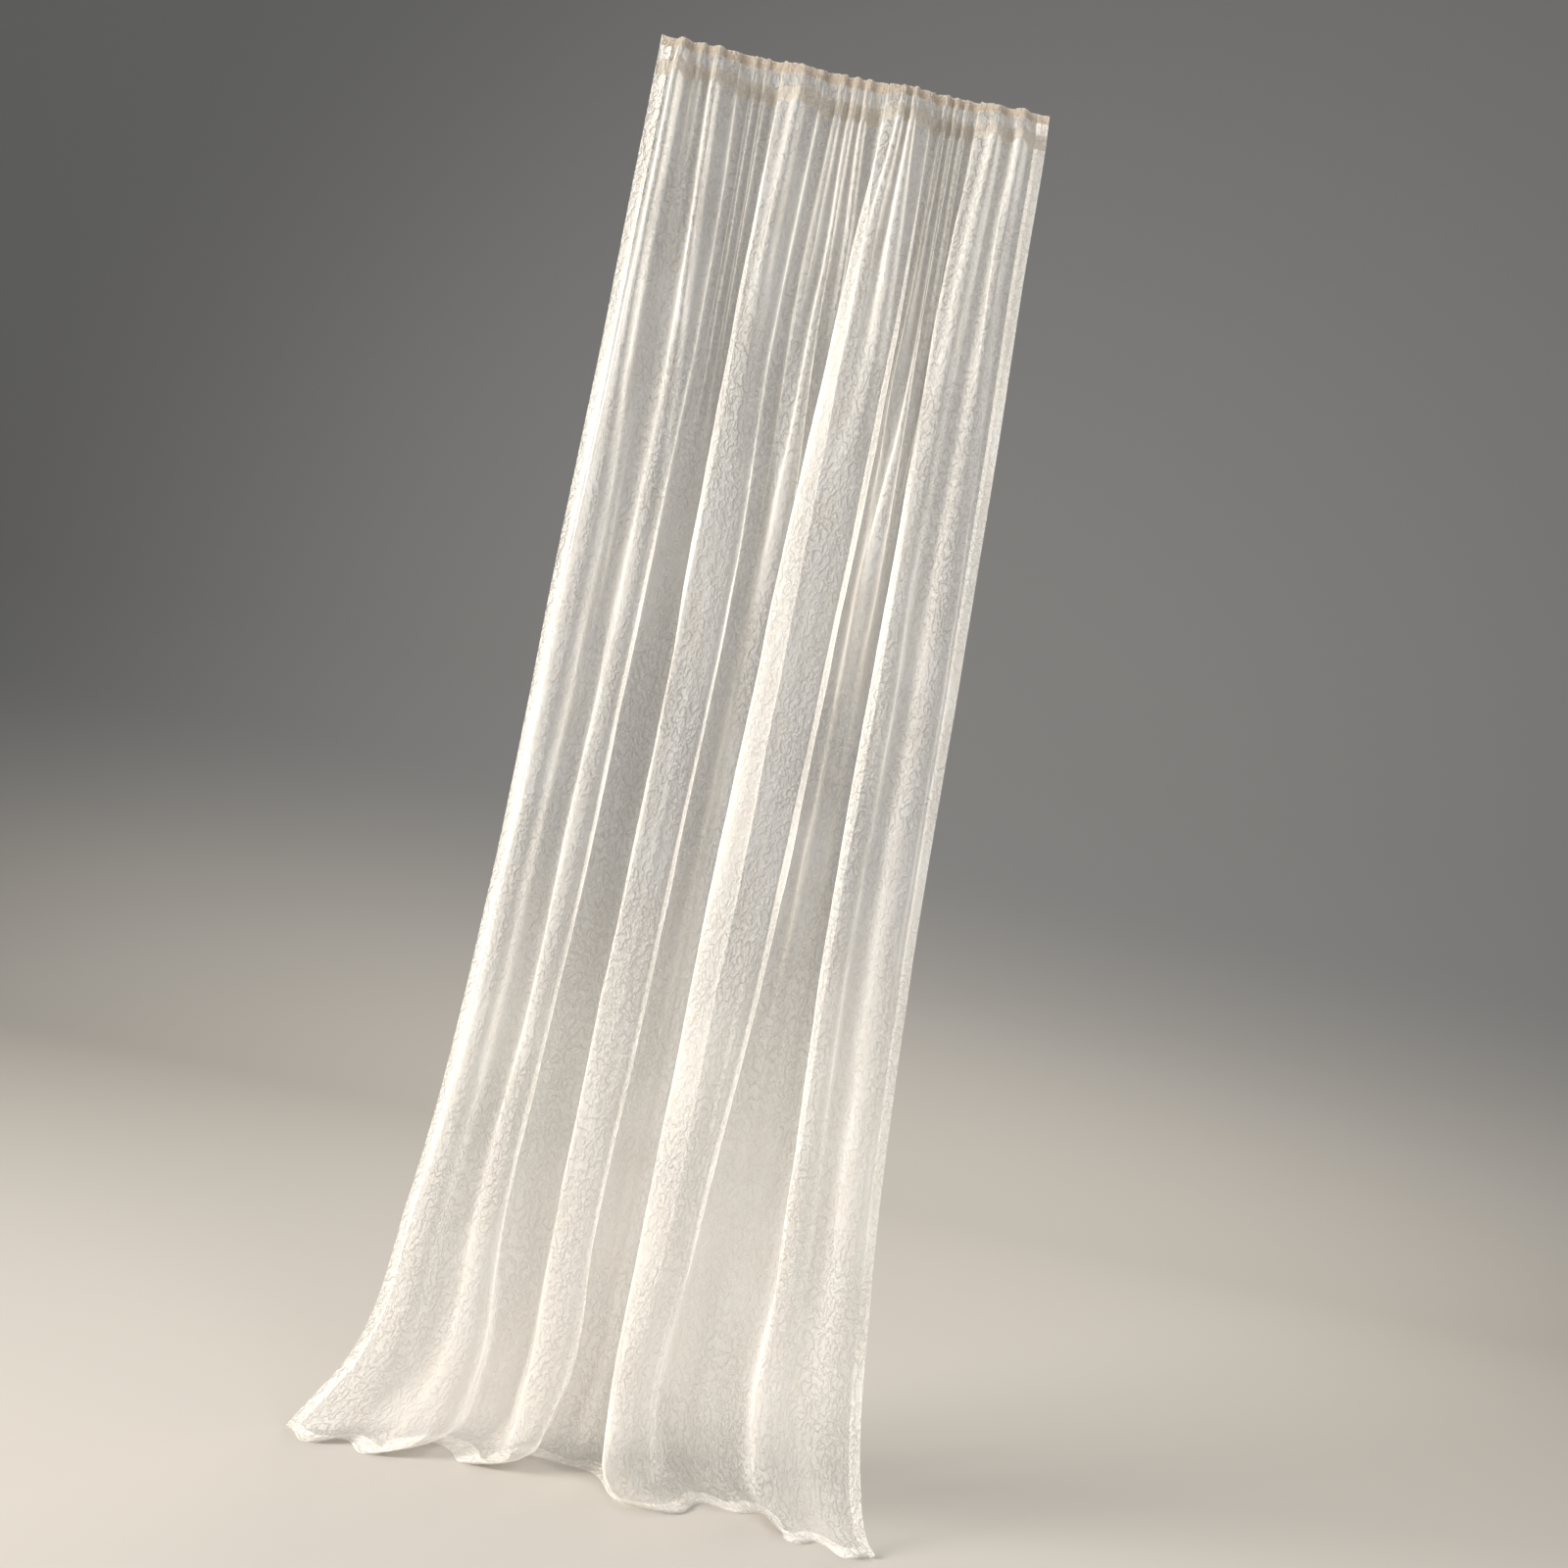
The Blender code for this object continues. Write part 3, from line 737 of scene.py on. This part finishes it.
def backdrop(floor_height):
    """A floor that curves up into a wall: a straight, a quarter circle and a straight, drawn out."""
    half_width, front, wall, bend, top = 9.0, -8.0, 4.2, 1.6, 6.0
    angle = np.linspace(0.0, np.pi / 2, 33)
    y = np.concatenate(([front], wall - bend + bend * np.sin(angle), [wall]))
    z = np.concatenate(([0.0], bend - bend * np.cos(angle), [top])) + floor_height
    x = np.array([-half_width, half_width])
    points = np.stack((np.repeat(x, len(y)), np.tile(y, 2), np.tile(z, 2)), axis=1)
    first = np.arange(len(y) - 1)
    faces = np.stack((first, first + len(y), first + len(y) + 1, first + 1), axis=1)
    mesh = bpy.data.meshes.new("studio_sweep")
    mesh.from_pydata(points.tolist(), [], faces[:, ::-1].tolist())
    mesh.update()
    mesh.shade_smooth()
    mesh.materials.append(paper_finish(floor_height))
    sweep = bpy.data.objects.new("studio_sweep", mesh)
    bpy.context.scene.collection.objects.link(sweep)


def area_light(name, place, aim, size, spread, watts, colour):
    """A soft square light at a place, turned to its aim and held within a spread in degrees."""
    lamp = bpy.data.lights.new(name, "AREA")
    lamp.shape = "SQUARE"
    lamp.size = size
    lamp.spread = np.radians(spread)
    lamp.energy = watts
    lamp.color = colour
    holder = bpy.data.objects.new(name, lamp)
    place, aim = np.array(place), np.array(aim)
    away = (place - aim) / np.linalg.norm(place - aim)
    side = np.cross((0.0, 0.0, 1.0), away)
    side /= np.linalg.norm(side)
    up = np.cross(away, side)
    basis = np.eye(4)
    basis[:3, :3] = np.stack((side, up, away), axis=1)
    basis[:3, 3] = place
    holder.matrix_world = Matrix(basis.tolist())
    holder.visible_camera = False
    bpy.context.scene.collection.objects.link(holder)


def studio():
    """Soft light from the front left, a fill, and a broad light behind that glows through."""
    world = bpy.data.worlds.new("studio air")
    world.use_nodes = True
    air = world.node_tree.nodes["Background"]
    air.inputs["Color"].default_value = (0.93, 0.96, 1.0, 1.0)
    air.inputs["Strength"].default_value = 0.54
    bpy.context.scene.world = world
    for light in STUDIO_LIGHTS:
        area_light(*light)


def camera():
    """The picture's own view: level, looking along +Y, and turned about that line."""
    lens = bpy.data.cameras.new("view")
    lens.sensor_fit = "HORIZONTAL"
    lens.sensor_width = SENSOR_WIDTH
    lens.lens = FOCAL_PIXELS / IMAGE_PIXELS * SENSOR_WIDTH
    holder = bpy.data.objects.new("view", lens)
    cosine, sine = np.cos(CAMERA_TURN), np.sin(CAMERA_TURN)
    basis = np.eye(4)
    basis[:3, 0] = (cosine, 0.0, sine)
    basis[:3, 1] = (-sine, 0.0, cosine)
    basis[:3, 2] = (0.0, -1.0, 0.0)
    basis[:3, 3] = (CAMERA_RIGHT, -CAMERA_DISTANCE, -CAMERA_BELOW_TOP)
    holder.matrix_world = Matrix(basis.tolist())
    bpy.context.scene.collection.objects.link(holder)
    bpy.context.scene.camera = holder


def curtain():
    """Every piece of the curtain, each riding the one body."""
    drape = Drape()
    voile = cloth_finish("crinkled voile", VOILE_LIGHT, VOILE_SHADE, 1.0)
    hems = cloth_finish("turned hem", VOILE_LIGHT, VOILE_SHADE, 0.4)
    s, t = np.meshgrid(drape.across, drape.down)
    panel = grid_object("voile_cloth", drape.points, s, t, drape.cover, voile)
    behind = -LAYER_STEP
    left = strip_object(
        "left_hem", drape, (0.0, 0.0), (SIDE_HEM, CLOTH_LENGTH), SIDE_HEM_COLUMNS, ROWS,
        behind, hems, layers=SIDE_HEM_LAYERS, raw_edge=(SIDE_HEM, None),
    )
    right = strip_object(
        "right_hem", drape, (CLOTH_WIDTH - SIDE_HEM, 0.0), (CLOTH_WIDTH, CLOTH_LENGTH),
        SIDE_HEM_COLUMNS, ROWS, behind, hems,
        layers=SIDE_HEM_LAYERS, raw_edge=(CLOTH_WIDTH - SIDE_HEM, None),
    )
    foot = strip_object(
        "bottom_hem", drape, (0.0, CLOTH_LENGTH - BOTTOM_HEM), (CLOTH_WIDTH, CLOTH_LENGTH),
        COLUMNS, BOTTOM_HEM_ROWS, 2 * behind, hems,
        layers=BOTTOM_HEM_LAYERS, raw_edge=(None, CLOTH_LENGTH - BOTTOM_HEM),
    )
    # The top turning's finish paints the voile a dark tan: painted shade.
    turning = strip_object(
        "top_turning", drape, (0.0, 0.0), (CLOTH_WIDTH, TOP_TURNING), COLUMNS, TURNING_ROWS, behind,
        cloth_finish("turned heading painted shade", TURNING_PAINTED_SHADE_LIGHTER, TURNING_PAINTED_SHADE_DARKER, 0.3), layers=TOP_TURNING_LAYERS,
    )
    tape = strip_object(
        "gathering_tape", drape, (TAPE_END_INSET, TAPE_TOP),
        (CLOTH_WIDTH - TAPE_END_INSET, TAPE_HEIGHT), COLUMNS, TAPE_ROWS, -TAPE_BEHIND, tape_finish(),
    )
    inset = SIDE_HEM - HEM_STITCH_INSET
    foot_line = CLOTH_LENGTH - BOTTOM_HEM + HEM_STITCH_INSET
    upper, lower = TAPE_TOP + TAPE_STITCH_INSET, TAPE_HEIGHT - TAPE_STITCH_INSET
    rows = [
        stitch_row(drape, (0.0, upper), (CLOTH_WIDTH, upper), STITCH_LIFT),
        stitch_row(drape, (0.0, lower), (CLOTH_WIDTH, lower), STITCH_LIFT),
        stitch_row(drape, (inset, 0.0), (inset, CLOTH_LENGTH), STITCH_LIFT),
        stitch_row(
            drape, (CLOTH_WIDTH - inset, 0.0), (CLOTH_WIDTH - inset, CLOTH_LENGTH), STITCH_LIFT
        ),
        stitch_row(drape, (0.0, foot_line), (CLOTH_WIDTH, foot_line), STITCH_LIFT),
    ]
    seams = stitches_object("seam_stitches", rows, thread_finish())
    for piece in (panel, left, right, foot, turning, tape, seams):
        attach(piece, "root")
    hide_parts("voile_panel")
    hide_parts("heading_tape")
    return drape


camera()
studio()
draped = curtain()
backdrop(float(draped.points[:, :, 2].min()) - 2 * LAYER_STEP - FLOOR_CLEARANCE)
bpy.context.scene.cycles.transparent_max_bounces = 32
bpy.context.scene.view_settings.view_transform = "Standard"
